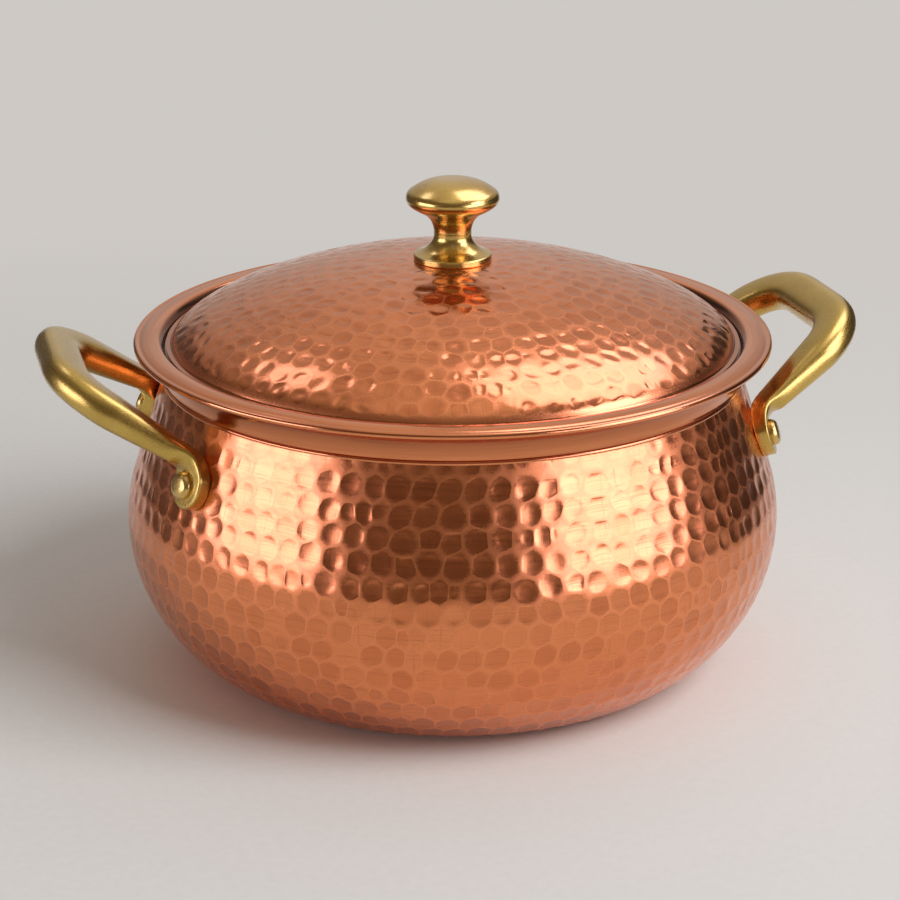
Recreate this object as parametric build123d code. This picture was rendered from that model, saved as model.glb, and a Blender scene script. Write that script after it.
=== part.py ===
from build123d import *
import os
from math import acos, asin, atan2, cos, degrees, hypot, radians, sin, tan

# Copper handi: a round-bellied covered cooking pot with two cast brass handles.
# Millimetres, +Z up. The origin is the centre of the base, on the surface it stands on.
# Handles lie along X, left is -X, and the front is -Y.

# Pot, outside sizes
belly_radius = 135.2
belly_round = 67.6
foot_round = 33.0
foot_turn = 40.0
pot_wall = 2.0

# Rim: a neck that flares into a flat flange with a beaded edge
rim_radius = 130.0
rim_height = 136.9
neck_height = 15.5
neck_lean = 10.0
flange_bend = 4.5
flange_overhang = 11.8
flange_thickness = 2.3
flange_crown = 0.4
flange_width = 10.2
bead_radius = 1.3
bead_drop = 0.3
groove_radius = 0.5

# Seat for the lid, stepped down inside the flange
seat_depth = 3.8
seat_width = 1.2

# Lid
lid_gap = 0.5
lid_wall = 1.2
brim_width = 2.4
brim_fillet = 0.8
lid_rise = 33.1
lid_edge_round = 13.0
lid_edge_turn = 29.0
lid_edge_slope = 65.0
lid_shoulder_round = 75.8
lid_shoulder_turn = 12.7
knob_seat_radius = 16.4

# Knob, turned in two pieces
knob_foot_radius = 15.9
knob_foot_rim = 2.9
knob_foot_edge = 0.5
knob_waist_radius = 7.7
knob_flare_start = 0.7
knob_flare_radius = 10.3
knob_flare_height = 5.6
knob_seam_height = 11.7
knob_seam_groove = 0.2
knob_collar_radius = 10.3
knob_collar_height = 18.1
knob_under_radius = 15.4
knob_under_height = 21.3
knob_cap_radius = 19.0
knob_cap_height = 25.9
knob_brow_radius = 17.0
knob_brow_height = 28.9
knob_crown_radius = 9.8
knob_crown_height = 32.7
knob_height = 33.6

# Screw that holds the knob, and its washer
screw_radius = 2.5
screw_length = 21.0
screw_head_radius = 4.7
screw_head_height = 3.2
screw_head_edge = 1.4
screw_slot_width = 1.2
screw_slot_depth = 1.4
screw_tip_room = 2.0
thread_gap = 0.05
hole_gap = 0.1
washer_radius = 7.5
washer_thickness = 1.0

# Handles, one casting used twice
grip_beyond_rim = 29.6
grip_below_rim = 1.4
grip_half_span = 33.5
grip_width = 18.5
grip_thickness = 13.0
grip_edge = 5.6
corner_bend = 24.0
arm_start = 7.0
arm_width = 11.8
arm_thickness = 8.4
arm_edge = 2.4
elbow_width = 8.6
elbow_thickness = 13.0
elbow_edge = 1.6
elbow_rise = 10.5
elbow_out = 4.7
elbow_inset = 3.1
foot_pitch = 102.3
foot_below_neck = 24.6
foot_width = 17.0
foot_thickness = 5.6
foot_straight = 5.6
foot_sink = 0.3
foot_edge = 0.9
strap_lap = 0.2
strap_inset = 0.1

# Rivets
rivet_inset = 1.3
rivet_radius = 2.5
rivet_gap = 0.05
rivet_head_radius = 5.4
rivet_head_height = 3.2
rivet_head_edge = 2.2
rivet_tail_radius = 6.5
rivet_tail_height = 1.8

# Sizes worked out from those above
neck_radius = rim_radius - flange_overhang
shoulder_height = rim_height - neck_height
belly_height = foot_round * (1 - cos(radians(foot_turn))) + belly_round * cos(radians(foot_turn))
belly_centre = belly_radius - belly_round
base_radius = belly_centre + (belly_round - foot_round) * sin(radians(foot_turn))
neck_rise = shoulder_height - belly_height
neck_reach = neck_radius - belly_centre
shoulder_lean = degrees(atan2(neck_rise, neck_reach) - acos(belly_round / hypot(neck_rise, neck_reach)))
throat_radius = neck_radius - pot_wall
seat_radius = throat_radius + seat_width
seat_height = rim_height - seat_depth
brim_radius = seat_radius - lid_gap
lid_top = seat_height + lid_rise
lid_underside = lid_top - lid_wall
foot_height = shoulder_height - foot_below_neck
foot_lean = min(shoulder_lean, degrees(asin((foot_height - belly_height) / belly_round)))
foot_on_arc = belly_centre + belly_round * cos(radians(foot_lean))
foot_past_arc = foot_height - belly_height - belly_round * sin(radians(foot_lean))
foot_reach = foot_on_arc - foot_past_arc * tan(radians(foot_lean))
foot_spread = degrees(asin(foot_pitch / 2 / foot_reach))
foot_front = foot_thickness - foot_sink
grip_reach = rim_radius + grip_beyond_rim
grip_height = rim_height - grip_below_rim


def turned(face):
    """A face drawn as radius and height, spun about the pot's axis."""
    return revolve(Plane.XZ * face, Axis.Z)


def pot_skin(inset, end_radius):
    """Half outline of the pot from its axis to end_radius on the shoulder, inset from the outside."""
    lean = radians(shoulder_lean)
    base = Line((0, inset), (base_radius, inset))
    foot = JernArc(base @ 1, (1, 0), foot_round - inset, foot_turn)
    belly = JernArc(foot @ 1, foot % 1, belly_round - inset, 90 - foot_turn + shoulder_lean)
    run = ((belly @ 1).X - end_radius) / sin(lean)
    shoulder = PolarLine(belly @ 1, run, 90 + shoulder_lean)
    return [base, foot, belly, shoulder]


def pot_envelope():
    """The pot's outside up to the neck, filled in: what the handle feet are seated on."""
    skin = pot_skin(0, neck_radius)
    top = skin[-1] @ 1
    return turned(make_face(skin + [Polyline(top, (0, top.Y), (0, 0))]))


def pot_cavity():
    """The space inside the pot, up through its throat."""
    skin = pot_skin(pot_wall, throat_radius)
    throat = Polyline(skin[-1] @ 1, (throat_radius, rim_height), (0, rim_height), (0, pot_wall))
    return turned(make_face(skin + [throat]))


def rim_section():
    """The neck, flange, beaded edge and lid seat, from the shoulder's end round to the throat."""
    flange_outer = rim_radius - bead_radius
    underside = rim_height - flange_thickness
    neck_heading = 90 - neck_lean
    bend_rise = flange_bend * (1 - cos(radians(neck_heading)))
    neck_length = (underside - bend_rise - shoulder_height) / cos(radians(neck_lean))
    neck = PolarLine((neck_radius, shoulder_height), neck_length, neck_heading)
    bend = JernArc(neck @ 1, neck % 1, flange_bend, -neck_heading)
    lip = Polyline(bend @ 1, (flange_outer, underside), (flange_outer, rim_height))
    crown_middle = (rim_radius - flange_width + flange_outer) / 2
    crown = ThreePointArc(lip @ 1, (crown_middle, rim_height + flange_crown),
                          (rim_radius - flange_width, rim_height))
    seat = Polyline(crown @ 1, (seat_radius, seat_height), (throat_radius, seat_height),
                    (throat_radius, shoulder_height), neck @ 0)
    ring = make_face([neck, bend, lip, crown, seat])
    bead = Pos(flange_outer, rim_height - bead_radius - bead_drop) * Circle(bead_radius)
    groove = Pos(flange_outer - bead_radius, rim_height + flange_crown / 2) * Circle(groove_radius)
    return ring + bead - groove


def pot_body():
    holes = [rivet_place(side, end) * Cylinder(rivet_radius + rivet_gap, 6 * pot_wall)
             for side in (0, 180) for end in (-1, 1)]
    return pot_envelope() + turned(rim_section()) - pot_cavity() - holes


def lid_shell():
    brim_top = seat_height + lid_wall
    brim = Line((brim_radius, brim_top), (brim_radius - brim_width, brim_top))
    toe = JernArc(brim @ 1, brim % 1, brim_fillet, -lid_edge_slope)
    edge = JernArc(toe @ 1, toe % 1, lid_edge_round, lid_edge_turn)
    shoulder = JernArc(edge @ 1, edge % 1, lid_shoulder_round, lid_shoulder_turn)
    crown = TangentArc(shoulder @ 1, (knob_seat_radius, lid_top), tangent=shoulder % 1)
    flat = Line(crown @ 1, (0, lid_top))
    outline = Wire([brim, toe, edge, shoulder, crown, flat])
    sheet = turned(make_face(outline.offset_2d(lid_wall, side=Side.LEFT)))
    return sheet - Pos(0, 0, lid_top) * Cylinder(screw_radius + hole_gap, 4 * lid_wall)


def knob():
    """Both pieces of the knob as one turned shape standing on the lid, before they are parted."""
    rim_top = knob_foot_rim
    foot = Polyline((0, 0), (knob_foot_radius - knob_foot_edge, 0), (knob_foot_radius, knob_foot_edge),
                    (knob_foot_radius, rim_top - knob_foot_edge), (knob_foot_radius - knob_flare_start, rim_top))
    flare = Spline(foot @ 1, (knob_flare_radius, knob_flare_height), (knob_waist_radius, knob_seam_height),
                   tangents=[(-3, 1), (0, 1)])
    stem = Spline(flare @ 1, (knob_collar_radius, knob_collar_height), tangents=[(0, 1), (1, 1)])
    under = Spline(stem @ 1, (knob_under_radius, knob_under_height), (knob_cap_radius, knob_cap_height),
                   tangents=[(2, 1), (0, 1)])
    top = Spline(under @ 1, (knob_brow_radius, knob_brow_height), (knob_crown_radius, knob_crown_height),
                 (0, knob_height), tangents=[(0, 1), (-1, 0)])
    axis = Line(top @ 1, (0, 0))
    return turned(make_face([foot, flare, stem, under, top, axis]))


def knob_base():
    below = split(knob(), bisect_by=Plane.XY.offset(knob_seam_height), keep=Keep.BOTTOM)
    return Pos(0, 0, lid_top) * (below - Cylinder(screw_radius + hole_gap, 3 * knob_seam_height))


def knob_cap():
    """The upper piece, with a blind hole for the screw and a softened edge that shows the seam."""
    above = split(knob(), bisect_by=Plane.XY.offset(knob_seam_height), keep=Keep.TOP)
    seam = above.edges().filter_by(GeomType.CIRCLE).sort_by(Axis.Z)[0]
    hole_depth = screw_length - washer_thickness - lid_wall + screw_tip_room
    hole = Cylinder(screw_radius + thread_gap, hole_depth, align=(Align.CENTER, Align.CENTER, Align.MIN))
    return Pos(0, 0, lid_top) * (chamfer(seam, knob_seam_groove) - hole)


def knob_washer():
    ring = Cylinder(washer_radius, washer_thickness) - Cylinder(screw_radius + hole_gap, 2 * washer_thickness)
    return Pos(0, 0, lid_underside - washer_thickness / 2) * ring


def knob_screw():
    """Slotted screw, entered from below, its round head under the washer."""
    head = Cylinder(screw_head_radius, screw_head_height, align=(Align.CENTER, Align.CENTER, Align.MAX))
    head = fillet(head.edges().filter_by(GeomType.CIRCLE).sort_by(Axis.Z)[0], screw_head_edge)
    head -= Pos(0, 0, -screw_head_height) * Box(2 * screw_head_radius, screw_slot_width, 2 * screw_slot_depth)
    shank = Cylinder(screw_radius, screw_length, align=(Align.CENTER, Align.CENTER, Align.MIN))
    return Pos(0, 0, lid_underside - washer_thickness) * (head + shank)


def foot_plane(end):
    """The middle of a handle foot on the shoulder: local Z points out, local Y up the shoulder."""
    spread, lean = radians(end * foot_spread), radians(foot_lean)
    at = Vector(foot_reach * cos(spread), foot_reach * sin(spread), foot_height)
    out = Vector(cos(lean) * cos(spread), cos(lean) * sin(spread), sin(lean))
    return Plane(origin=at, x_dir=(-sin(spread), cos(spread), 0), z_dir=out)


def rivet_place(side, end):
    """Where a rivet passes through the foot, towards the middle of the handle."""
    return Rot(0, 0, side) * foot_plane(end).location * Pos(-end * rivet_inset, 0, 0)


def bar_section(place, heading, front, thickness, width, edge):
    """Cross-section of the casting, width measured along front and thickness across it."""
    across = heading.cross(front).normalized()
    return Plane(origin=place, x_dir=across, z_dir=heading) * RectangleRounded(thickness, width, edge)


def handle_bar():
    """Half of the casting above its foot: it twists as it leaves the foot and thickens towards the grip."""
    foot = foot_plane(1)
    elbow = foot.from_local_coords(Vector(-elbow_inset, elbow_rise, elbow_out))
    arm, corner, grip = FilletPolyline(elbow, (grip_reach, grip_half_span, grip_height),
                                       (grip_reach, 0, grip_height), radius=[corner_bend]).edges()
    arm_heading = arm % 0
    outboard = (grip % 0).cross(arm_heading).cross(arm_heading).normalized()

    def arm_section(share):
        thickness = arm_thickness + share * (grip_thickness - arm_thickness)
        width = arm_width + share * (grip_width - arm_width)
        edge = arm_edge + share * (grip_edge - arm_edge)
        return bar_section(arm @ (start + share * (1 - start)), arm_heading, outboard, thickness, width, edge)

    start = arm_start / arm.length
    strap_end = foot.from_local_coords(Vector(0, foot_straight - strap_lap, foot_front - foot_thickness / 2))
    twist = loft([
        bar_section(strap_end, foot.y_dir, foot.z_dir, foot_width - 2 * strap_inset,
                    foot_thickness - 2 * strap_inset, foot_edge),
        bar_section(elbow, (foot.y_dir + arm_heading).normalized(), (foot.z_dir + outboard).normalized(),
                    elbow_thickness, elbow_width, elbow_edge),
        arm_section(0),
        arm_section(start),
    ])
    taper = loft([arm_section(start), arm_section(1)])
    return twist + taper + sweep(arm_section(1), path=Wire([corner, grip]))


def handle_foot():
    """The plate under the rivet, rounded at its lower end and softened along its free edges."""
    plan = Rectangle(foot_width, foot_straight, align=(Align.CENTER, Align.MIN)) + Circle(foot_width / 2)
    plate = extrude(plan, foot_thickness)
    free_edges = plate.edges().filter_by(Axis.Z, reverse=True).sort_by(Axis.Y)[:-2]
    return Pos(0, 0, -foot_sink) * fillet(free_edges, foot_edge)


def handle(side):
    """One casting: two mirrored halves, its feet bedded on the pot's shoulder."""
    half = foot_plane(1) * handle_foot() + handle_bar()
    holes = [rivet_place(0, end) * Cylinder(rivet_radius + rivet_gap, 6 * foot_thickness) for end in (-1, 1)]
    return Rot(0, 0, side) * (half + mirror(half, Plane.XZ) - pot_envelope() - holes)


def rivet_head():
    """A button, its top edge well rounded."""
    disc = Cylinder(rivet_head_radius, rivet_head_height, align=(Align.CENTER, Align.CENTER, Align.MIN))
    return fillet(disc.edges().filter_by(GeomType.CIRCLE).sort_by(Axis.Z)[-1], rivet_head_edge)


def rivet_tail():
    """A low dome, as deep as the tail is hammered out."""
    ball = (rivet_tail_radius ** 2 + rivet_tail_height ** 2) / (2 * rivet_tail_height)
    return split(Pos(0, 0, rivet_tail_height - ball) * Sphere(ball), bisect_by=Plane.XY)


def rivet(side, end):
    """A round head on the foot, a shank, and a low tail hammered against the inside of the wall."""
    head = Pos(0, 0, foot_front) * rivet_head()
    tail = Pos(0, 0, -pot_wall) * Rot(180, 0, 0) * rivet_tail()
    seated_tail = rivet_place(0, -1) * tail & pot_cavity()
    overlap = rivet_tail_height / 3
    shank = Pos(0, 0, -pot_wall - overlap) * Cylinder(rivet_radius, foot_front + pot_wall + 2 * overlap,
                                                     align=(Align.CENTER, Align.CENTER, Align.MIN))
    whole = rivet_place(0, -1) * (head + shank) + seated_tail
    return Rot(0, 0, side) * (whole if end < 0 else mirror(whole, Plane.XZ))


right, left = 0, 180
pieces = {
    "pot_body": pot_body(),
    "lid_shell": lid_shell(),
    "knob_base": knob_base(),
    "knob_cap": knob_cap(),
    "knob_washer": knob_washer(),
    "knob_screw": knob_screw(),
    "handle_left": handle(left),
    "handle_right": handle(right),
    "left_front_rivet": rivet(left, 1),
    "left_rear_rivet": rivet(left, -1),
    "right_front_rivet": rivet(right, -1),
    "right_rear_rivet": rivet(right, 1),
}

os.makedirs("parts", exist_ok=True)
for name, piece in pieces.items():
    export_step(piece, f"parts/{name}.step")
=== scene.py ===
import random
from math import acos, asin, atan2, cos, degrees, hypot, pi, radians, sin, tan

import bmesh
import bpy
from mathutils import Matrix, Vector
from mathutils.geometry import interpolate_bezier
from mathutils.kdtree import KDTree


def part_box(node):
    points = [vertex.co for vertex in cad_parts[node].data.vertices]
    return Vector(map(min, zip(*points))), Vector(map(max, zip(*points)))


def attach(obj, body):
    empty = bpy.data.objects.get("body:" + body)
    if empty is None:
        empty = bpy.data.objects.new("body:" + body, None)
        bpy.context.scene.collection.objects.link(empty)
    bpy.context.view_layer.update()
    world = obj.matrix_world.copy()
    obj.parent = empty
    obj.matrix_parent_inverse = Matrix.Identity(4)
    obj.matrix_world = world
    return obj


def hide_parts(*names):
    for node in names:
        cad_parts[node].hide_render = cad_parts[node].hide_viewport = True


# Copper handi: a hammered pot and lid in copper, with a turned knob and two cast handles in brass.
# Sizes are in millimetres and angles in degrees. Finished meshes are scaled to metres.
# The handles lie along X, left is -X, and the front is -Y.

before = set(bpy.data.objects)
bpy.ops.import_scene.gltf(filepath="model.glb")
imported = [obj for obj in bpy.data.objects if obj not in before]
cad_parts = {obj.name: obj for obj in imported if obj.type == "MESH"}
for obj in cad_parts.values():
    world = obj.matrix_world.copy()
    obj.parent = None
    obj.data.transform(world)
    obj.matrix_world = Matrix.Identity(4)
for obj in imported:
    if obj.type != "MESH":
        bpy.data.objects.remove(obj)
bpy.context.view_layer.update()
mm = 0.001


def cad_size(node, corner, axis):
    """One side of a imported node's box, in millimetres."""
    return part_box(node)[corner][axis] / mm


# Pot
belly_radius = cad_size("pot_body", 1, 0)
belly_round = 67.6
foot_round = 33.0
foot_turn = 40.0
pot_wall = 2.0
neck_radius = 118.2
shoulder_height = 121.4

# Rim
rim_height = 136.9
flange_thickness = 2.3
flange_width = 10.2
flange_crown = 0.4
rim_radius = 130.0
bead_radius = 1.3
bead_drop = 0.3
bead_centre = (rim_radius - bead_radius, rim_height - bead_radius - bead_drop)

# Lid and its seat
seat_height = cad_size("lid_shell", 0, 2)
seat_width = 1.2
lid_gap = 0.5
lid_wall = 1.2
brim_width = 1.4
brim_fillet = 0.8
lid_top = cad_size("lid_shell", 1, 2)
lid_edge_round = 13.0
lid_edge_turn = 29.0
lid_edge_slope = 65.0
lid_shoulder_round = 75.8
lid_shoulder_turn = 12.7
knob_seat_radius = 16.4
screw_hole = 2.6

# Knob, turned in two pieces that meet this far above the lid
knob_parting = 11.7
knob_steps = 112

# Handles
grip_reach = 159.6
grip_height = 135.5
grip_half_span = 33.5
grip_width = 18.5
grip_thickness = 13.0
grip_edge = 5.6
corner_bend = 24.0
arm_width = 11.8
arm_thickness = 8.4
arm_edge = 2.5
foot_pitch = 102.3
foot_height = 96.8
foot_width = 17.0
foot_thickness = 5.6
foot_sink = 0.3
rivet_inset = 1.3

# Worked out from those above
belly_height = foot_round * (1 - cos(radians(foot_turn))) + belly_round * cos(radians(foot_turn))
belly_centre = belly_radius - belly_round
base_radius = belly_centre + (belly_round - foot_round) * sin(radians(foot_turn))
neck_rise = shoulder_height - belly_height
neck_reach = neck_radius - belly_centre
shoulder_lean = degrees(atan2(neck_rise, neck_reach) - acos(belly_round / hypot(neck_rise, neck_reach)))
throat_radius = neck_radius - pot_wall
seat_radius = throat_radius + seat_width
brim_radius = seat_radius - lid_gap
foot_reach = neck_radius + (shoulder_height - foot_height) * tan(radians(shoulder_lean))
foot_spread = degrees(asin(foot_pitch / 2 / foot_reach))

# Seeded, so that every hammer mark falls in the same place on each run
chance = random.Random(7)


# An outline is a list of (radius, height) points. A heading of 0 points away from the axis, and 90 up.

def run_arc(outline, heading, radius, turn, step=0.5):
    """Carries an outline on along an arc, left for a positive turn, and returns its new heading."""
    count = max(3, round(radius * radians(abs(turn)) / step))
    for _ in range(count):
        heading += turn / count / 2
        chord = 2 * radius * sin(radians(abs(turn)) / count / 2)
        reach, height = outline[-1]
        outline.append((reach + chord * cos(radians(heading)), height + chord * sin(radians(heading))))
        heading += turn / count / 2
    return heading


def run_line(outline, end, step=0.5):
    """Carries an outline on straight to end."""
    reach, height = outline[-1]
    count = max(1, round(hypot(end[0] - reach, end[1] - height) / step))
    for index in range(1, count + 1):
        share = index / count
        outline.append((reach + share * (end[0] - reach), height + share * (end[1] - height)))


def pot_outline(inset, end_radius, step=0.5):
    """The pot's side from the edge of its flat base up to end_radius on the shoulder."""
    outline = [(base_radius, inset)]
    heading = run_arc(outline, 0, foot_round - inset, foot_turn, step)
    heading = run_arc(outline, heading, belly_round - inset, 90 - foot_turn + shoulder_lean, step)
    reach, height = outline[-1]
    rise = (reach - end_radius) / tan(radians(shoulder_lean))
    run_line(outline, (end_radius, height + rise), step)
    return outline


def lid_outline():
    """The top of the lid from its brim up to the flat under the knob."""
    outline = [(brim_radius, seat_height + lid_wall)]
    run_line(outline, (brim_radius - brim_width, seat_height + lid_wall))
    heading = run_arc(outline, 180, brim_fillet, -lid_edge_slope)
    heading = run_arc(outline, heading, lid_edge_round, lid_edge_turn)
    heading = run_arc(outline, heading, lid_shoulder_round, lid_shoulder_turn)
    reach, height = outline[-1]
    to_seat = Vector((knob_seat_radius - reach, lid_top - height))
    ahead = Vector((cos(radians(heading)), sin(radians(heading))))
    aside = Vector((-ahead.y, ahead.x))
    crown_round = to_seat.length_squared / (2 * to_seat.dot(aside))
    crown_turn = 2 * degrees(atan2(to_seat.dot(aside), to_seat.dot(ahead)))
    run_arc(outline, heading, crown_round, crown_turn)
    return outline


def shifted(outline, depth):
    """An outline moved in by depth, away from its right-hand side."""
    moved = []
    for before, after in zip(outline[:-2], outline[2:]):
        along = Vector((after[0] - before[0], after[1] - before[1])).normalized()
        at = ((before[0] + after[0]) / 2, (before[1] + after[1]) / 2)
        moved.append((at[0] - along.y * depth, at[1] + along.x * depth))
    return moved


def thinned(outline, spacing):
    """The outline with points about spacing apart, its last point kept."""
    kept = [outline[0]]
    for point in outline[1:-1]:
        if hypot(point[0] - kept[-1][0], point[1] - kept[-1][1]) >= spacing:
            kept.append(point)
    return kept + [outline[-1]]


def length_of(outline):
    return sum(hypot(b[0] - a[0], b[1] - a[1]) for a, b in zip(outline, outline[1:]))


def point_at(outline, distance):
    """The point at that distance along an outline."""
    for a, b in zip(outline, outline[1:]):
        piece = hypot(b[0] - a[0], b[1] - a[1])
        if distance <= piece:
            share = distance / piece
            return a[0] + share * (b[0] - a[0]), a[1] + share * (b[1] - a[1])
        distance -= piece
    return outline[-1]


class Skin:
    """A turned surface that points can be laid on, at a depth under it."""

    def __init__(self, outline):
        self.samples = []
        for a, b in zip(outline, outline[1:]):
            along = Vector((b[0] - a[0], b[1] - a[1])).normalized()
            self.samples.append(((a[0] + b[0]) / 2, (a[1] + b[1]) / 2, along.y, -along.x))
        self.tree = KDTree(len(self.samples))
        for index, (reach, height, _, _) in enumerate(self.samples):
            self.tree.insert((reach, height, 0), index)
        self.tree.balance()

    def nearest(self, place):
        reach = hypot(place.x, place.y)
        return reach, self.samples[self.tree.find((reach, place.z, 0))[1]]

    def outward(self, place):
        reach, (_, _, out, up) = self.nearest(place)
        return Vector((place.x / reach * out, place.y / reach * out, up))

    def lay(self, place, depth=0.0):
        reach, (at, height, out, up) = self.nearest(place)
        drop = (reach - at) * out + (place.z - height) * up + depth
        share = (reach - drop * out) / reach
        return Vector((place.x * share, place.y * share, place.z - drop * up))


def new_mesh():
    """A mesh whose points know if they are in a hammer mark, that mark's shade, and if they were spun."""
    shape = bmesh.new()
    for name in ("mark", "blow", "spun"):
        shape.verts.layers.float.new(name)
    return shape


def finished(shape, name, body, nodes, materials, sharp=38):
    """Turns a mesh in millimetres into a piece that stands for CAD nodes and moves with a body."""
    bmesh.ops.remove_doubles(shape, verts=shape.verts, dist=0.001)
    bmesh.ops.recalc_face_normals(shape, faces=shape.faces)
    bmesh.ops.scale(shape, vec=(mm, mm, mm), verts=shape.verts)
    for face in shape.faces:
        face.smooth = True
    for edge in shape.edges:
        edge.smooth = edge.is_manifold and edge.calc_face_angle(0) < radians(sharp)
    mesh = bpy.data.meshes.new(name)
    shape.to_mesh(mesh)
    shape.free()
    for material in materials:
        mesh.materials.append(material)
    piece = bpy.data.objects.new(name, mesh)
    bpy.context.scene.collection.objects.link(piece)
    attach(piece, body)
    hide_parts(*nodes)
    return piece


def draw_on(shape, edges, points, material=0):
    """Draws the open edge of a turned skin on through (radius, height) points."""
    spun = shape.verts.layers.float["spun"]
    for reach, height in points:
        made = bmesh.ops.extrude_edge_only(shape, edges=edges)["geom"]
        corners = {item for item in made if isinstance(item, bmesh.types.BMVert)}
        for corner in corners:
            out = corner.co.xy.normalized() * reach
            corner.co = (out.x, out.y, height)
            corner[spun] = 1
        edges = [item for item in made if isinstance(item, bmesh.types.BMEdge)
                 and item.verts[0] in corners and item.verts[1] in corners]
        for edge in edges:
            for face in edge.link_faces:
                face.material_index = material
    return edges


def close_end(shape, edges, material=0):
    """Closes a round open edge with a fan."""
    disc = bmesh.ops.contextual_create(shape, geom=edges)["faces"]
    for face in bmesh.ops.poke(shape, faces=disc)["faces"]:
        face.material_index = material


def open_edges(shape, upper):
    """The upper or the lower of a band's two open edges."""
    rim = [edge for edge in shape.edges if edge.is_boundary]
    middle = sum(edge.verts[0].co.z for edge in rim) / len(rim)
    return [edge for edge in rim if (edge.verts[0].co.z > middle) == upper]


def turned(outline, steps, close=False):
    """A mesh spun round the axis from a (radius, height) outline."""
    shape = new_mesh()
    line = [shape.verts.new((reach, 0, height)) for reach, height in outline]
    edges = [shape.edges.new(pair) for pair in zip(line, line[1:])]
    if close:
        edges.append(shape.edges.new((line[-1], line[0])))
    bmesh.ops.spin(shape, geom=line + edges, axis=(0, 0, 1), cent=(0, 0, 0), dvec=(0, 0, 0),
                   angle=2 * pi, steps=steps, use_merge=True)
    bmesh.ops.remove_doubles(shape, verts=shape.verts, dist=0.001)
    return shape


def flowing(stops, count):
    """An outline through (radius, height, heading) stops, leaving and entering each at its heading."""
    pull_share = 0.37
    outline = []
    for (r0, z0, h0), (r1, z1, h1) in zip(stops, stops[1:]):
        pull = hypot(r1 - r0, z1 - z0) * pull_share
        start, end = Vector((r0, z0)), Vector((r1, z1))
        leave = start + pull * Vector((cos(radians(h0)), sin(radians(h0))))
        enter = end - pull * Vector((cos(radians(h1)), sin(radians(h1))))
        outline += [tuple(point) for point in interpolate_bezier(start, leave, enter, end, count)][:-1]
    return outline + [stops[-1][:2]]


def mark_places(count, wander, small_share):
    """Where the marks of one row come, in pitches round it. A few of them are two small marks."""
    places = []
    for index in range(count):
        place = index + chance.uniform(-wander, wander)
        if chance.random() < small_share:
            places += [place - 0.13, place + 0.5]
        else:
            places.append(place)
    return places


def hammered_band(shape, outline, start, end, rows, pitch, wander, small_share):
    """Rows of hammer-mark cells from start to end along an outline, with a plain edge at both ends."""
    skin = Skin(outline)
    step = (end - start) / rows
    open_row = None
    for row in range(rows + 2):
        along = min(max(start + (row - 0.5) * step, start - 0.1 * step), end + 0.1 * step)
        count = round(2 * pi * point_at(outline, along)[0] / pitch)
        plain = row in (0, rows + 1)
        places = list(range(count)) if plain else mark_places(count, wander, small_share)
        circle = bmesh.ops.create_circle(shape, segments=len(places), radius=1, cap_ends=False)["verts"]
        wave = chance.uniform(0, 2 * pi)
        for corner, place in zip(circle, places):
            turn = 2 * pi * (place + row / 2) / count
            lift = 0 if plain else step * (chance.uniform(-wander, wander) + 0.05 * sin(3 * turn + wave))
            reach, height = point_at(outline, along + lift)
            corner.co = (reach * cos(turn), reach * sin(turn), height)
        loose = list({edge for corner in circle for edge in corner.link_edges})
        if open_row:
            bmesh.ops.bridge_loops(shape, edges=open_row + loose)
            below = point_at(outline, along - step / 4)[1]
            open_row = [edge for edge in shape.edges if edge.is_boundary and edge.verts[0].co.z > below]
        else:
            open_row = loose
    bmesh.ops.triangulate(shape, faces=shape.faces)
    bmesh.ops.beautify_fill(shape, faces=shape.faces, edges=shape.edges, method="ANGLE")
    struck = [corner.co.copy() for corner in shape.verts if not corner.is_boundary]
    spokes = [edge for edge in shape.edges if not edge.is_boundary]
    bmesh.ops.poke(shape, faces=shape.faces, center_mode="MEAN")
    bmesh.ops.rotate_edges(shape, edges=spokes, use_ccw=False)
    bmesh.ops.subdivide_edges(shape, edges=shape.edges, cuts=3, use_grid_fill=True)
    shape.verts.ensure_lookup_table()
    corners = KDTree(len(shape.verts))
    for index, corner in enumerate(shape.verts):
        corners.insert(corner.co, index)
    corners.balance()
    return skin, [shape.verts[corners.find(place)[1]] for place in struck]


def crowded(shape, height):
    """Draws all that lies above a height down close to it."""
    for corner in shape.verts:
        if corner.co.z > height:
            corner.co.z = height + 0.1 * (corner.co.z - height)


# The three rings of points round a mark's middle, and the share of its radius that each is drawn out to
mark_rings = ((1, 0.42), (2, 0.78), (3, 1.0))
# How crisply a mark's round rim turns into the straight border with its neighbour
rim_crispness = 20


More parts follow.
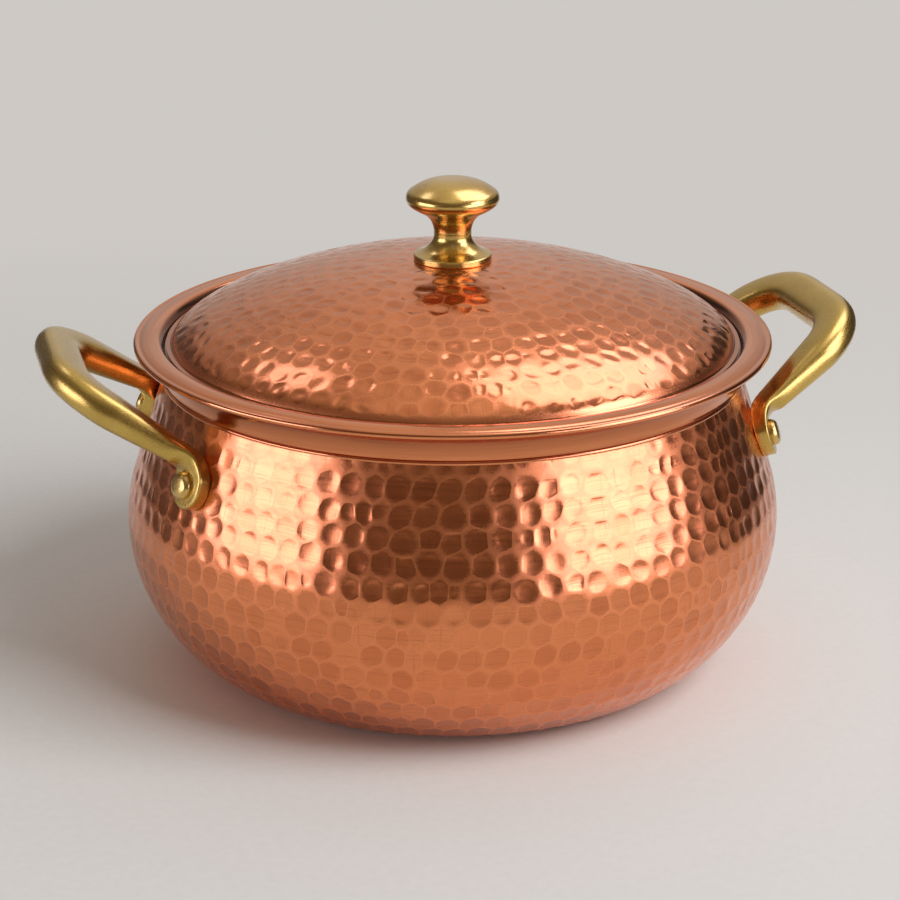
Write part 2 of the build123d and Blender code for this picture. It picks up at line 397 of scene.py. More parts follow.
def strike(shape, skin, centres, radius, bow, depth, ridge, crest, slant):
    """Sinks a shallow mark at every centre, and leaves a web between the marks.

    Bow is the round part of a mark's depth and depth is the flat part. Ridge is the share of a cell that the
    mark may fill, crest is how far its rim lies under the web, and slant is how much it may tilt.
    """
    mark = shape.verts.layers.float["mark"]
    blow = shape.verts.layers.float["blow"]
    settled = set()
    for centre in centres:
        middle = skin.lay(centre.co)
        out = skin.outward(middle)
        wide = radius * chance.uniform(0.88, 1.08)
        deep = depth * chance.uniform(0.7, 1.25)
        tilt = Vector((chance.uniform(-1, 1), chance.uniform(-1, 1), chance.uniform(-1, 1))) * slant
        shade = chance.random()
        seen, ring, spokes = {centre}, [centre], []
        for step, share in mark_rings:
            ring = list({edge.other_vert(corner) for corner in ring for edge in corner.link_edges} - seen)
            seen.update(ring)
            for corner in ring:
                away = corner.co - middle
                away -= away.dot(out) * out
                spokes.append((corner, away.normalized(), away.length * 4 / step, share))
        wide = min(wide, 1.3 * min(border for _, _, border, _ in spokes))
        for corner, away, border, share in spokes:
            rim = (wide ** -rim_crispness + (border * ridge) ** -rim_crispness) ** (-1 / rim_crispness)
            hollow = (bow * (1 - share ** 2) + deep * (1 - share ** 3)) * (rim / radius) ** 2
            lean = rim * share * (1 - share ** 3) * away.dot(tilt)
            corner.co = skin.lay(middle + away * rim * share, crest + hollow + lean)
            corner[mark] = 1
            corner[blow] = shade
        centre.co = skin.lay(middle, crest + (bow + deep) * (min(wide, radius) / radius) ** 2)
        centre[mark] = 1
        centre[blow] = shade
        settled |= seen
    for corner in shape.verts:
        if corner not in settled:
            corner.co = skin.lay(corner.co)
            corner[blow] = 0.5


def hammered_pot():
    """The pot: a hammered belly drawn on into its neck, flange, lid seat and tinned inside."""
    shape = new_mesh()
    outline = pot_outline(0, neck_radius - 1.3)
    whole = length_of(outline)
    skin, centres = hammered_band(shape, outline, start=12.0, end=whole - 1.0, rows=15, pitch=9.35,
                                  wander=0.075, small_share=0.06)
    crowded(shape, shoulder_height - 1.1)
    strike(shape, skin, centres, radius=4.2, bow=0.15, depth=0.12, ridge=0.9, crest=0.065, slant=0.035)
    top, bottom = open_edges(shape, True), open_edges(shape, False)

    low = point_at(outline, 11.5)[1]
    lower = thinned([spot for spot in outline if spot[1] < low][::-1], 2.0)
    edges = draw_on(shape, bottom, lower + [(base_radius - 1.5, 0), (base_radius / 2, 0), (4.0, 0)])
    close_end(shape, edges)

    neck = [(neck_radius + 0.35, shoulder_height - 0.72), (neck_radius + 0.95, shoulder_height - 0.6),
            (neck_radius + 1.15, shoulder_height - 0.15), (neck_radius + 1.05, shoulder_height + 0.35),
            (neck_radius + 0.65, shoulder_height + 0.75), (neck_radius + 0.35, shoulder_height + 1.0)]
    under = rim_height - flange_thickness
    wall = flowing([(neck_radius + 0.3, shoulder_height + 1.4, 92),
                    (neck_radius + 0.8, shoulder_height + 5.0, 80),
                    (neck_radius + 3.2, under - 3.0, 48), (neck_radius + 8.0, under, 0)], 7)
    bead = []
    for turn in range(-147, 128, 17):
        bead.append((bead_centre[0] + bead_radius * cos(radians(turn)),
                     bead_centre[1] + bead_radius * sin(radians(turn))))
    groove = [(bead_centre[0] - 1.05, rim_height - 0.62), (bead_centre[0] - 1.4, rim_height - 0.5),
              (bead_centre[0] - 1.9, rim_height - 0.26), (bead_centre[0] - 2.5, rim_height - 0.04)]
    inner = bead_centre[0] + bead_radius - flange_width
    crown = []
    for share in (0.12, 0.3, 0.5, 0.7, 0.88, 0.97):
        reach = groove[-1][0] + share * (inner - groove[-1][0])
        crown.append((reach, rim_height + flange_crown * (1 - (2 * share - 1) ** 2)))
    seat = [(inner - 0.25, rim_height - 0.2), (inner - 0.6, rim_height - 0.7), (seat_radius, seat_height),
            (throat_radius + 0.3, seat_height), (throat_radius, seat_height - 0.3),
            (throat_radius, shoulder_height + 2)]
    edges = draw_on(shape, top, neck + wall + bead + groove + crown + seat)
    inside = thinned(pot_outline(pot_wall, throat_radius, 1.0)[::-1], 6.0)
    edges = draw_on(shape, edges, inside + [(base_radius / 2, pot_wall), (4.0, pot_wall)], material=1)
    close_end(shape, edges, material=1)
    return shape


def hammered_lid():
    """The lid: a hammered dome with a plain edge and brim, and a plain underside with the screw's hole."""
    shape = new_mesh()
    outline = lid_outline()
    whole = length_of(outline)
    skin, centres = hammered_band(shape, outline, start=3.9, end=whole - 0.9, rows=12, pitch=8.9,
                                  wander=0.1, small_share=0.06)
    strike(shape, skin, centres, radius=3.85, bow=0.06, depth=0.10, ridge=0.86, crest=0.03, slant=0.09)
    top, bottom = open_edges(shape, True), open_edges(shape, False)
    low = point_at(outline, 2.9)[1]
    lower = thinned([spot for spot in outline if spot[1] < low][::-1], 0.45)
    brim = [(brim_radius, seat_height + 0.2), (brim_radius - 0.2, seat_height),
            (brim_radius - brim_width + 0.2, seat_height)]
    under = thinned([spot for spot in shifted(outline, lid_wall) if spot[0] < brim_radius - brim_width], 6.0)
    edges = draw_on(shape, bottom, lower + brim)
    edges = draw_on(shape, edges, under + [(screw_hole + 2, lid_top - lid_wall)], material=1)
    hole = [(screw_hole + 2, lid_top), (screw_hole, lid_top), (screw_hole, lid_top - lid_wall)]
    inner = draw_on(shape, top, hole)
    bmesh.ops.bridge_loops(shape, edges=edges + inner)
    return shape


def knob_foot():
    """The flared lower piece, up to the parting line."""
    stops = [(15.4, 0.0, 0), (15.9, 0.5, 90), (15.9, 2.3, 90), (15.5, 2.8, 140), (15.0, 2.95, 162)]
    flare = flowing([(15.0, 2.95, 162), (10.3, 5.6, 133), (7.7, 10.6, 90), (7.7, 11.5, 90)], 12)
    top = [(7.45, knob_parting), (screw_hole, knob_parting)]
    outline = [(screw_hole, 0.0)] + flowing(stops, 8) + flare[1:] + top
    return turned([(reach, lid_top + height) for reach, height in outline], knob_steps, close=True)


def knob_head():
    """The upper piece: stem, collar and mushroom cap."""
    stem = flowing([(7.7, 11.95, 90), (8.5, 15.6, 68), (10.3, 18.1, 45), (15.4, 21.3, 32), (19.0, 25.6, 90),
                    (17.0, 29.0, 146), (9.8, 32.6, 164), (0.0, 33.6, 180)], 12)
    outline = [(screw_hole, knob_parting), (7.4, knob_parting)] + stem
    return turned([(reach, lid_top + height) for reach, height in outline], knob_steps)


def foot_frame(end):
    """Where the middle of a handle's foot is, and its sideways, upward and outward directions."""
    spread, lean = radians(end * foot_spread), radians(shoulder_lean)
    at = Vector((foot_reach * cos(spread), foot_reach * sin(spread), foot_height))
    side = Vector((-sin(spread), cos(spread), 0))
    out = Vector((cos(lean) * cos(spread), cos(lean) * sin(spread), sin(lean)))
    return at, side, out.cross(side), out


def section(place, across, front, width, depth, edge):
    """Sixteen points round a bar: a rectangle width across by depth to the front, its corners rounded."""
    points = []
    for quarter in range(4):
        for turn in (0, 30, 60, 90):
            angle = radians(90 * quarter + turn)
            side = (1, -1, -1, 1)[quarter] * (width / 2 - edge)
            face = (1, 1, -1, -1)[quarter] * (depth / 2 - edge)
            points.append(place + across * (side + edge * cos(angle)) + front * (face + edge * sin(angle)))
    return points


def handle_sections():
    """Sections of half a handle, from the tip of its foot to the middle of the grip."""
    at, side, up, out = foot_frame(1)
    half = foot_width / 2
    middle = foot_thickness / 2 - foot_sink
    sections = []
    for rise in (-8.45, -8.2, -7.4, -6.0, -4.2, -2.0, 0.0, 3.0, 5.6):
        wide = 2 * (half ** 2 - min(0, rise) ** 2) ** 0.5
        thick = foot_thickness - (0.7 if rise < -8.3 else 0.25 if rise < -8 else 0)
        edge = min(0.9, wide / 2 - 0.05)
        sections.append(section(at + up * rise + out * middle, side, out, wide, thick, edge))

    elbow = at + side * -3.1 + up * 10.5 + out * 4.7
    corner = Vector((grip_reach, grip_half_span, grip_height))
    arm = (corner - elbow).normalized()
    grip = Vector((0, -1, 0))
    outboard = grip.cross(arm).cross(arm).normalized()
    turn = arm.angle(grip)
    setback = corner_bend * tan(turn / 2)
    arm_length = (corner - elbow).length - setback

    bend = (up + arm).normalized()
    front = (out + outboard).normalized()
    sections.append(section(elbow, bend.cross(front).normalized(), front, 13.0, 8.6, 1.9))
    across = arm.cross(outboard).normalized()
    for share in (0.13, 0.3, 0.5, 0.7, 0.88, 1.0):
        grow = max(0, share - 0.13) / 0.87
        sections.append(section(elbow + arm * arm_length * share, across, outboard,
                                arm_thickness + (grip_thickness - arm_thickness) * grow,
                                arm_width + (grip_width - arm_width) * grow,
                                arm_edge + (grip_edge - arm_edge) * grow))
    bend_start = elbow + arm * arm_length
    axis = arm.cross(grip).normalized()
    hub = bend_start + axis.cross(arm).normalized() * corner_bend
    for share in (0.2, 0.4, 0.6, 0.8, 1.0):
        swing = Matrix.Rotation(turn * share, 3, axis)
        place = hub + swing @ (bend_start - hub)
        sections.append(section(place, swing @ across, swing @ outboard,
                                grip_thickness, grip_width, grip_edge))
    last = sections[-1]
    for share in (0.35, 0.7, 1.0):
        sections.append([point + Vector((0, -place.y * share, 0)) for point in last])
    return sections


def cast_handle(side):
    """A handle drawn through its sections and mirrored. Its points know their place along and round it."""
    shape = new_mesh()
    along = shape.verts.layers.float.new("along")
    round_a = shape.verts.layers.float.new("round_a")
    round_b = shape.verts.layers.float.new("round_b")
    sections = handle_sections()
    count = len(sections[0])
    ring = bmesh.ops.create_circle(shape, segments=count, radius=1, cap_ends=True)["verts"]
    travelled = 0.0
    before = None
    for points in sections:
        middle = sum(points, Vector()) / len(points)
        if before is not None:
            travelled += (middle - before).length
            edges = [shape.edges.get(pair) for pair in zip(ring, ring[1:] + ring[:1])]
            made = bmesh.ops.extrude_edge_only(shape, edges=edges)["geom"]
            fresh = {item for item in made if isinstance(item, bmesh.types.BMVert)}
            ring = [next(edge.other_vert(corner) for edge in corner.link_edges
                         if edge.other_vert(corner) in fresh) for corner in ring]
        before = middle
        for index, (corner, point) in enumerate(zip(ring, points)):
            corner.co = point
            corner[along] = travelled
            corner[round_a] = cos(2 * pi * index / count)
            corner[round_b] = sin(2 * pi * index / count)
    bmesh.ops.mirror(shape, geom=shape.verts[:] + shape.edges[:] + shape.faces[:], axis="Y", merge_dist=0.01)
    bmesh.ops.rotate(shape, verts=shape.verts, cent=(0, 0, 0), matrix=Matrix.Rotation(radians(side), 3, "Z"))
    return shape


def rivet(side, end):
    """A button head on the foot, a shank, and a low tail inside the pot."""
    face, inside = foot_thickness - foot_sink, -pot_wall
    head = flowing([(0.0, face + 3.2, 0), (3.0, face + 3.02, -9), (4.95, face + 1.95, -58),
                    (5.4, face + 0.9, -90), (5.4, face + 0.1, -90)], 8)
    shank = [(5.3, face - 0.15), (2.5, face - 0.2), (2.5, inside + 0.1)]
    tail = [(6.4, inside + 0.1), (6.3, inside - 0.25), (5.0, inside - 1.0), (2.8, inside - 1.6),
            (0.0, inside - 1.8)]
    shape = turned(head + shank + tail, 40)
    at, across, up, out = foot_frame(end)
    place = Matrix((across, up, out)).transposed().to_4x4()
    place.translation = at - end * rivet_inset * across
    bmesh.ops.transform(shape, matrix=Matrix.Rotation(radians(side), 4, "Z") @ place, verts=shape.verts)
    return shape


# Inputs of a colour mix: its share, its first colour and its second
mix_share, mix_first, mix_second = 0, 6, 7


class Finish:
    """A material under construction: add() makes a node, sets its values and links what feeds it."""

    def __init__(self, name):
        self.material = bpy.data.materials.new(name)
        self.material.use_nodes = True
        self.nodes = self.material.node_tree.nodes
        self.links = self.material.node_tree.links
        self.shader = self.nodes["Principled BSDF"]

    def add(self, kind, feeds=None, **settings):
        made = self.nodes.new("ShaderNode" + kind)
        for name, value in settings.items():
            setattr(made, name, value)
        for name, value in (feeds or {}).items():
            if isinstance(value, bpy.types.NodeSocket):
                self.links.new(value, made.inputs[name])
            else:
                made.inputs[name].default_value = value
        return made.outputs

    def maths(self, operation, a, b=0.0):
        return self.add("Math", {0: a, 1: b}, operation=operation)[0]

    def noise(self, vector, scale, detail):
        feeds = {"Vector": vector, "Scale": scale, "Detail": detail, "Roughness": 0.55}
        return self.add("TexNoise", feeds)[0]

    def remap(self, value, low, high, to_low=0.0, to_high=1.0):
        feeds = {"Value": value, "From Min": low, "From Max": high, "To Min": to_low, "To Max": to_high}
        return self.add("MapRange", feeds)[0]

    def mix(self, share, a, b):
        made = self.nodes.new("ShaderNodeMix")
        made.data_type = "RGBA"
        for index, value in ((mix_share, share), (mix_first, a), (mix_second, b)):
            if isinstance(value, bpy.types.NodeSocket):
                self.links.new(value, made.inputs[index])
            else:
                made.inputs[index].default_value = value
        return made.outputs[2]

    def attribute(self, name):
        return self.add("Attribute", attribute_name=name)["Fac"]

    def place(self):
        return self.add("TexCoord")["Object"]

    def round_the_axis(self):
        """Place on a turned piece: its direction and its distance from the axis, and its height."""
        place = self.place()
        split = self.add("SeparateXYZ", {"Vector": place})
        flat = self.add("CombineXYZ", {"X": split[0], "Y": split[1]})[0]
        reach = self.add("VectorMath", {0: flat}, operation="LENGTH")["Value"]
        aim = self.add("VectorMath", {0: flat}, operation="NORMALIZE")[0]
        return aim, reach, split[2]

    def streaks_round(self, fine, long):
        """Fine lines that run round the axis, as a lathe or a turning polish leaves."""
        aim, reach, height = self.round_the_axis()
        slow = self.add("VectorMath", {0: aim, 1: (long, long, long)}, operation="MULTIPLY")[0]
        split = self.add("SeparateXYZ", {"Vector": slow})
        across = self.maths("ADD", self.maths("MULTIPLY", reach, fine),
                            self.maths("MULTIPLY", height, fine * 1.31))
        spot = self.add("CombineXYZ", {"X": split[0], "Y": split[1], "Z": across})[0]
        return self.noise(spot, 1.0, 2.0)

    def bumps(self, height, strength, distance, under=None):
        feeds = {"Height": height, "Strength": strength, "Distance": distance}
        if under is not None:
            feeds["Normal"] = under
        return self.add("Bump", feeds)[0]

    def feed(self, **sockets):
        names = {"colour": "Base Color", "roughness": "Roughness", "normal": "Normal"}
        for name, value in sockets.items():
            self.links.new(value, self.shader.inputs[names[name]])

    def fixed(self, **values):
        for name, value in values.items():
            self.shader.inputs[name.replace("_", " ").title()].default_value = value


scratched_copper = (0.46, 0.125, 0.045, 1)
# Painted shade: a dark copper tone for the neck's cove just under the flange, where the flange shades it.
painted_flange_shade = (0.33, 0.095, 0.035, 1)
gap_shadow = (0.12, 0.05, 0.025, 1)
scratched_brass = (0.42, 0.26, 0.065, 1)


def copper(name, satin, web_satin, dull):
    """Polished copper: smooth in the hammer marks, paler and satin on the webs, brushed where it was spun.

    Satin and web_satin are the roughness of marks and webs, and dull is the tone of the darkest marks.
    The paler webs and the darker, randomly toned marks are partly the copper's own tone and partly painted
    reflection. The cove under the flange and the lid's seat get painted shade.
    """
    work = Finish(name)
    place = work.place()
    mark = work.remap(work.attribute("mark"), 0.0, 1.0)
    blow = work.attribute("blow")
    spun = work.attribute("spun")
    cloud = work.remap(work.noise(place, 22.0, 3.0), 0.35, 0.65)
    fine = work.noise(place, 900.0, 3.0)
    lines = work.streaks_round(1900.0, 4.0)
    broad = work.streaks_round(520.0, 3.0)
    aim, reach, height = work.round_the_axis()
    steep = work.add("VectorMath", {0: aim, 1: (230.0, 230.0, 230.0)}, operation="MULTIPLY")[0]
    steep_split = work.add("SeparateXYZ", {"Vector": steep})
    upright = work.noise(work.add("CombineXYZ", {"X": steep_split[0], "Y": steep_split[1],
                                                 "Z": work.maths("MULTIPLY", height, 60.0)})[0], 1.0, 2.0)

    # Paler webs and darker random mark tones: partly the copper's own tone, partly painted reflection of what
    # webs and tilted marks mirror.
    web = work.mix(cloud, (0.86, 0.29, 0.107, 1), (0.81, 0.262, 0.096, 1))
    dish = work.mix(blow, (0.83, 0.27, 0.098, 1), dull)
    scored = work.maths("MULTIPLY", mark, work.remap(upright, 0.6, 0.72, 0.0, 0.45))
    scored = work.maths("MAXIMUM", scored,
                        work.maths("MULTIPLY", mark, work.remap(lines, 0.53, 0.68, 0.0, 0.5)))
    dish = work.mix(scored, dish, scratched_copper)
    brushed = work.mix(work.remap(broad, 0.38, 0.62), (0.78, 0.27, 0.105, 1), (0.66, 0.215, 0.08, 1))
    # Painted shade under the flange: darkens the upper neck cove, fading out near the bead, varied by the
    # broad streaks.
    flange_shade_mask = work.maths("MULTIPLY",
                      work.remap(height, (shoulder_height + 1.0) * mm, (shoulder_height + 8.0) * mm),
                      work.remap(height, (rim_height - 2.7) * mm, (rim_height - 2.2) * mm, 1.0, 0.0))
    flange_shade_mask = work.maths("MULTIPLY", flange_shade_mask, work.remap(broad, 0.3, 0.6, 0.95, 0.55))
    brushed = work.mix(flange_shade_mask, brushed, painted_flange_shade)
    gap = work.maths("MULTIPLY", work.remap(height, (seat_height - 1.5) * mm, (seat_height - 0.5) * mm),
                     work.remap(reach, (seat_radius + 1.4) * mm, (seat_radius + 2.2) * mm, 1.0, 0.0))
    gap = work.maths("MULTIPLY", gap, work.remap(reach, brim_radius * mm, (brim_radius + 0.2) * mm))
    brushed = work.mix(gap, brushed, gap_shadow)
    work.feed(colour=work.mix(spun, work.mix(mark, web, dish), brushed))
    spun_satin = 0.13
    rough = work.maths("ADD", work.remap(mark, 0, 1, web_satin, satin),
                       work.remap(fine, 0.3, 0.7, -0.02, 0.03))
    rough = work.maths("ADD", rough, work.remap(broad, 0.35, 0.65, -0.02, 0.04))
    rough = work.maths("SUBTRACT", rough, work.remap(spun, 0.0, 1.0, 0.0, web_satin - spun_satin))
    work.feed(roughness=rough)
    level = work.bumps(work.maths("MULTIPLY", lines, work.remap(spun, 0.0, 1.0, 1.0, 0.25)), 0.06, 0.0002)
    level = work.bumps(upright, 0.05, 0.0002, level)
    work.feed(normal=work.bumps(fine, 0.02, 0.0001, level))
    work.fixed(metallic=1.0, coat_weight=0.35, coat_roughness=0.16)
    return work.material


def tin():
    """Wiped tin lining, dull and streaky."""
    work = Finish("wiped_tin")
    place = work.place()
    cloud = work.remap(work.noise(place, 14.0, 4.0), 0.3, 0.7)
    lines = work.streaks_round(1500.0, 7.0)
    work.feed(colour=work.mix(cloud, (0.65, 0.62, 0.56, 1), (0.53, 0.50, 0.45, 1)))
    work.feed(roughness=work.remap(lines, 0.3, 0.7, 0.30, 0.44))
    work.feed(normal=work.bumps(lines, 0.2, 0.0002))
    work.fixed(metallic=1.0)
    return work.material


def turned_brass():
    """Brass off the lathe: satin, with fine lines round the axis."""
    work = Finish("turned_brass")
    place = work.place()
    cloud = work.remap(work.noise(place, 60.0, 3.0), 0.35, 0.65)
    lines = work.streaks_round(2600.0, 3.0)
    colour = work.mix(cloud, (0.70, 0.465, 0.115, 1), (0.63, 0.405, 0.09, 1))
    work.feed(colour=work.mix(work.remap(lines, 0.5, 0.75, 0, 0.5), colour, scratched_brass))
    work.feed(roughness=work.remap(lines, 0.3, 0.7, 0.19, 0.29))
    work.feed(normal=work.bumps(lines, 0.15, 0.0002))
    work.fixed(metallic=1.0, coat_weight=0.7, coat_roughness=0.14)
    return work.material


def cast_brass(name):
    """Cast brass, filed and brushed along the bar."""
    work = Finish(name)
    place = work.place()
    cloud = work.remap(work.noise(place, 40.0, 4.0), 0.35, 0.65)
    grain = work.noise(place, 1400.0, 2.0)
    spot = work.add("CombineXYZ", {"X": work.maths("MULTIPLY", work.attribute("round_a"), 26.0),
                                   "Y": work.maths("MULTIPLY", work.attribute("round_b"), 26.0),
                                   "Z": work.maths("MULTIPLY", work.attribute("along"), 0.12)})[0]
    lines = work.noise(spot, 1.0, 3.0)
    colour = work.mix(cloud, (0.65, 0.44, 0.095, 1), (0.55, 0.36, 0.068, 1))
    work.feed(colour=work.mix(work.remap(lines, 0.5, 0.75, 0, 0.35), colour, scratched_brass))
    work.feed(roughness=work.maths("ADD", work.remap(lines, 0.3, 0.7, 0.23, 0.31),
                                   work.remap(grain, 0.3, 0.7, 0, 0.04)))
    level = work.bumps(lines, 0.15, 0.0003)
    work.feed(normal=work.bumps(grain, 0.05, 0.0001, level))
    work.fixed(metallic=1.0, coat_weight=0.6, coat_roughness=0.2)
    return work.material


def rivet_brass():
    """The rivets: brass with the small dents of the hammer that set them."""
    work = Finish("rivet_brass")
    place = work.place()
    dents = work.noise(place, 420.0, 2.0)
    fine = work.noise(place, 1600.0, 2.0)
    work.feed(colour=work.mix(work.remap(dents, 0.35, 0.65), (0.68, 0.455, 0.12, 1), (0.61, 0.40, 0.10, 1)))
    work.feed(roughness=work.remap(fine, 0.3, 0.7, 0.24, 0.34))
    work.feed(normal=work.bumps(dents, 0.1, 0.0004))
    work.fixed(metallic=1.0, coat_weight=0.8, coat_roughness=0.18)
    return work.material


def steel():
    """The screw and washer: plain bright steel with fine grinding lines."""
    work = Finish("ground_steel")
    place = work.place()
    lines = work.streaks_round(5200.0, 4.0)
    cloud = work.remap(work.noise(place, 90.0, 3.0), 0.35, 0.65)
    work.feed(colour=work.mix(cloud, (0.52, 0.51, 0.49, 1), (0.44, 0.43, 0.42, 1)))
    work.feed(roughness=work.remap(lines, 0.3, 0.7, 0.26, 0.4))
    work.feed(normal=work.bumps(lines, 0.2, 0.0002))
    work.fixed(metallic=1.0)
    return work.material


# The last value is the darkest mark tone, partly painted reflection.
pot_finish = copper("hammered_copper", 0.20, 0.36, (0.70, 0.21, 0.072, 1))
lid_finish = copper("bright_hammered_copper", 0.14, 0.26, (0.68, 0.204, 0.07, 1))
tin_finish = tin()
knob_finish = turned_brass()
handle_finish = cast_brass("cast_brass")
rivet_finish = rivet_brass()
steel_finish = steel()

finished(hammered_pot(), "hammered_pot", "pot", ["pot_body"], [pot_finish, tin_finish])
finished(hammered_lid(), "hammered_lid", "lid", ["lid_shell"], [lid_finish, tin_finish])
finished(knob_foot(), "turned_knob_base", "lid", ["knob_base"], [knob_finish])
finished(knob_head(), "turned_knob_cap", "lid", ["knob_cap"], [knob_finish])

right, left = 0, 180
for name, side in (("right", right), ("left", left)):
    piece = finished(cast_handle(side), "cast_handle_" + name, "pot", ["handle_" + name],
                     [handle_finish], sharp=80)
    smooth = piece.modifiers.new("rounding", "SUBSURF")
    smooth.levels = smooth.render_levels = 2
for name, side, end in (("left_front", left, 1), ("left_rear", left, -1), ("right_front", right, -1),
                        ("right_rear", right, 1)):
    finished(rivet(side, end), "set_rivet_" + name, "pot", [name + "_rivet"], [rivet_finish])

for node in ("knob_washer", "knob_screw"):
    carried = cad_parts[node]
    carried.data.materials.clear()
    carried.data.materials.append(steel_finish)


# Camera, a little to the left of the front and looking down. Its shift is a share of the picture's width.
view_turn = 14.9
view_fall = 19.84
view_distance = 1000.0
look_height = 83.88
lens_length = 95.85
picture_width = 900
sideways = -2.67 / picture_width

backdrop_tone = (0.615, 0.585, 0.56, 1)
to_right = Vector((cos(radians(view_turn)), -sin(radians(view_turn)), 0))
back = Vector((-sin(radians(view_turn)) * cos(radians(view_fall)),
               -cos(radians(view_turn)) * cos(radians(view_fall)), sin(radians(view_fall))))
camera = bpy.data.objects.new("camera", bpy.data.cameras.new("camera"))
bpy.context.scene.collection.objects.link(camera)
camera.location = (Vector((0, 0, look_height)) + back * view_distance) * mm
camera.rotation_mode = "QUATERNION"
camera.rotation_quaternion = (-back).to_track_quat("-Z", "Y")
camera.data.lens = lens_length
camera.data.sensor_width = 36
camera.data.shift_x = sideways
camera.data.clip_start = 0.05
bpy.context.scene.camera = camera


def pale_floor():
    """A pale floor that runs on as one even tone. To the metal, but not the camera, its far sides are dim."""
    shape = bmesh.new()
    bmesh.ops.create_grid(shape, x_segments=8, y_segments=8, size=6)
    mesh = bpy.data.meshes.new("studio_floor")
    shape.to_mesh(mesh)
    shape.free()
    work = Finish("floor_paper")
    place = work.place()
    away = work.add("VectorMath", {0: place, 1: to_right * -0.12}, operation="DISTANCE")["Value"]
    aside = work.add("VectorMath", {0: place, 1: to_right}, operation="DOT_PRODUCT")["Value"]
    aside = work.maths("ABSOLUTE", aside)
    speckle = work.noise(place, 260.0, 3.0)
    work.feed(colour=work.mix(work.remap(speckle, 0.3, 0.7), (0.73, 0.74, 0.73, 1), (0.76, 0.77, 0.76, 1)))
    work.fixed(roughness=0.85)
    mirrored = work.maths("SUBTRACT", 1.0, work.add("LightPath")["Is Camera Ray"])
    dimmed = work.maths("MULTIPLY", work.remap(aside, 0.6, 1.2), mirrored)
    tone = work.mix(dimmed, backdrop_tone, (0.30, 0.28, 0.265, 1))
    far = work.add("Emission", {"Color": tone, "Strength": 1.0})[0]
    share = work.remap(away, 0.2, 0.7, 0.05, 1.0)
    blend = work.add("MixShader", {0: share, 1: work.shader.outputs[0], 2: far})[0]
    work.links.new(blend, work.nodes["Material Output"].inputs["Surface"])
    mesh.materials.append(work.material)
    floor = bpy.data.objects.new("studio_floor", mesh)
    bpy.context.scene.collection.objects.link(floor)


pale_floor()
lamp_aim = Vector((0, 0, 0.08))


def softbox(name, azimuth, elevation, distance, width, height, glow, tint=(1, 1, 1)):
    """A flat lamp that faces the object and shows in its metal.

    Azimuth is its direction from the camera's side, positive to the right. Sizes are in metres. Glow is how
    bright its face is, with 1 as white.
    """
    a, e = radians(azimuth - view_turn), radians(elevation)
    aim = Vector((sin(a) * cos(e), -cos(a) * cos(e), sin(e)))
    lamp = bpy.data.lights.new(name, "AREA")
    lamp.shape = "RECTANGLE"
    lamp.size, lamp.size_y = width, height
    lamp.energy = glow * pi * width * height
    lamp.color = tint
    holder = bpy.data.objects.new(name, lamp)
    bpy.context.scene.collection.objects.link(holder)
    holder.location = lamp_aim + aim * distance
    holder.rotation_mode = "QUATERNION"
    holder.rotation_quaternion = (-aim).to_track_quat("-Z", "Y")
    holder.visible_diffuse = False
    return holder


flash = (1.0, 0.98, 1.35)
softbox("right_box", 57, 13, 1.3, 1.15, 0.52, 3.6, flash)
softbox("right_high_box", 71, 36, 1.3, 0.66, 0.44, 4.8, flash)
softbox("front_top_box", -5, 74, 1.3, 1.1, 0.6, 0.2)
softbox("left_box", -67, 11, 1.3, 1.0, 0.5, 3.3, flash)
softbox("top_box", 120, 60, 1.25, 0.7, 0.9, 2.5, flash)
softbox("back_left_box", -126, 55, 1.2, 0.3, 0.26, 2.0, flash)
# The one lamp that lights the floor, and doesn't show in the metal
floor_box = softbox("floor_box", 62, 42, 2.3, 1.5, 1.5, 6.5)
floor_box.visible_diffuse = True
floor_box.visible_glossy = False


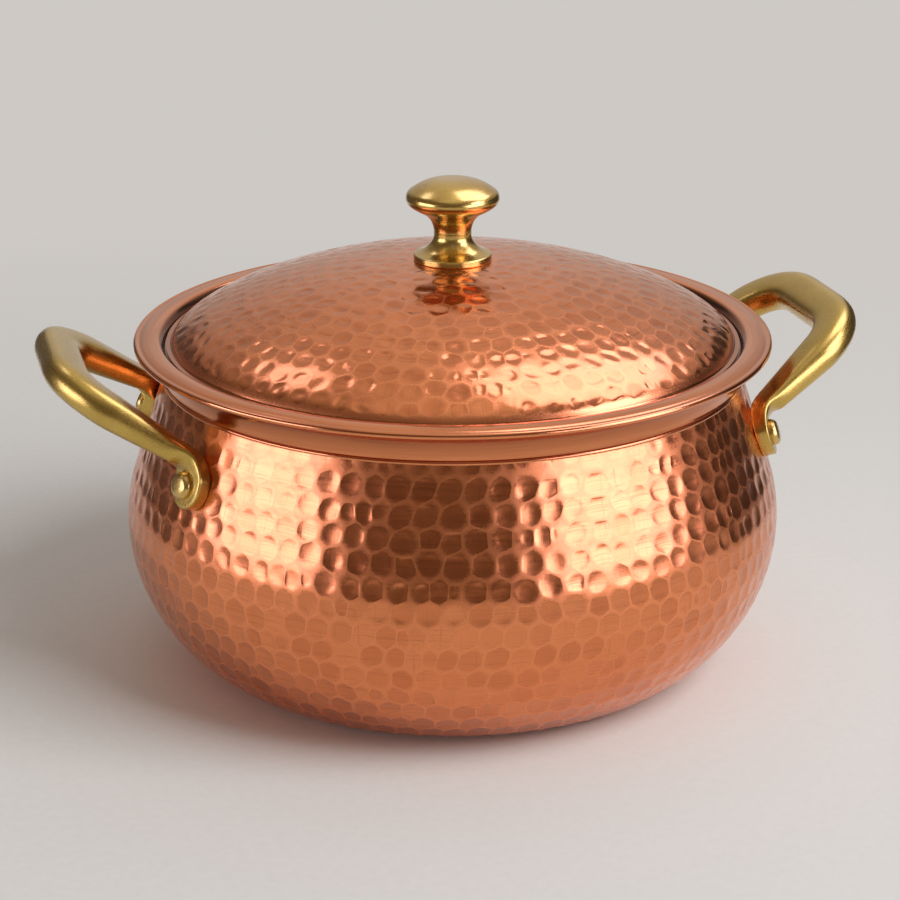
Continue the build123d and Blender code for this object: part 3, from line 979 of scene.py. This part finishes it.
def dark_card(name, side):
    """A dark card that stands beside the object, seen by no camera, and gives the metal a dark edge."""
    half_height, longer, apart, behind = 0.17, 2.1, 0.42, 0.38
    shape = bmesh.new()
    bmesh.ops.create_grid(shape, x_segments=2, y_segments=2, size=half_height)
    turn = Matrix.Rotation(radians(90), 4, "Y") @ Matrix.Diagonal((1, longer, 1, 1))
    place = Matrix.Translation((apart * side, behind, half_height))
    bmesh.ops.transform(shape, matrix=place @ turn, verts=shape.verts)
    bmesh.ops.rotate(shape, verts=shape.verts, matrix=Matrix.Rotation(-radians(view_turn), 3, "Z"))
    mesh = bpy.data.meshes.new(name)
    shape.to_mesh(mesh)
    shape.free()
    work = Finish(name)
    weave = work.noise(work.place(), 900.0, 3.0)
    work.feed(colour=work.mix(weave, (0.09, 0.08, 0.07, 1), (0.13, 0.11, 0.09, 1)))
    work.fixed(roughness=0.9)
    mesh.materials.append(work.material)
    card = bpy.data.objects.new(name, mesh)
    card.visible_camera = card.visible_diffuse = card.visible_shadow = False
    bpy.context.scene.collection.objects.link(card)


dark_card("dark_card_right", 1)
dark_card("dark_card_left", -1)


def studio_air():
    """What the metal mirrors beside the lamps: pale above and behind the object, dim in front and aside."""
    world = bpy.data.worlds.new("studio_air")
    world.use_nodes = True
    bpy.context.scene.world = world
    nodes, links = world.node_tree.nodes, world.node_tree.links
    ray = nodes.new("ShaderNodeTexCoord").outputs["Generated"]

    def step(kind, operation, a, b):
        made = nodes.new(kind)
        made.operation = operation
        for socket, value in zip(made.inputs, (a, b)):
            if isinstance(value, bpy.types.NodeSocket):
                links.new(value, socket)
            else:
                socket.default_value = value
        return made.outputs["Value"]

    rise = step("ShaderNodeVectorMath", "DOT_PRODUCT", ray, Vector((-back.x, -back.y, 0)).normalized() * 0.75
                + Vector((0, 0, 1.0)) + to_right * 0.22)
    aside = step("ShaderNodeVectorMath", "DOT_PRODUCT", ray, to_right)
    aside = step("ShaderNodeMath", "ABSOLUTE", aside, 0.0)
    lean = step("ShaderNodeMath", "SUBTRACT", rise, step("ShaderNodeMath", "MULTIPLY", aside, 1.0))
    fade = nodes.new("ShaderNodeMapRange")
    links.new(lean, fade.inputs["Value"])
    fade.inputs["From Min"].default_value = -0.2
    fade.inputs["From Max"].default_value = 1.22
    tone, seen = nodes.new("ShaderNodeMix"), nodes.new("ShaderNodeMix")
    tone.data_type = seen.data_type = "RGBA"
    links.new(fade.outputs["Result"], tone.inputs[mix_share])
    tone.inputs[mix_first].default_value = (0.145, 0.112, 0.087, 1)
    tone.inputs[mix_second].default_value = (0.70, 0.66, 0.61, 1)
    links.new(nodes.new("ShaderNodeLightPath").outputs["Is Camera Ray"], seen.inputs[mix_share])
    links.new(tone.outputs[2], seen.inputs[mix_first])
    seen.inputs[mix_second].default_value = backdrop_tone
    links.new(seen.outputs[2], nodes["Background"].inputs["Color"])


studio_air()
bpy.context.scene.view_settings.view_transform = "Standard"
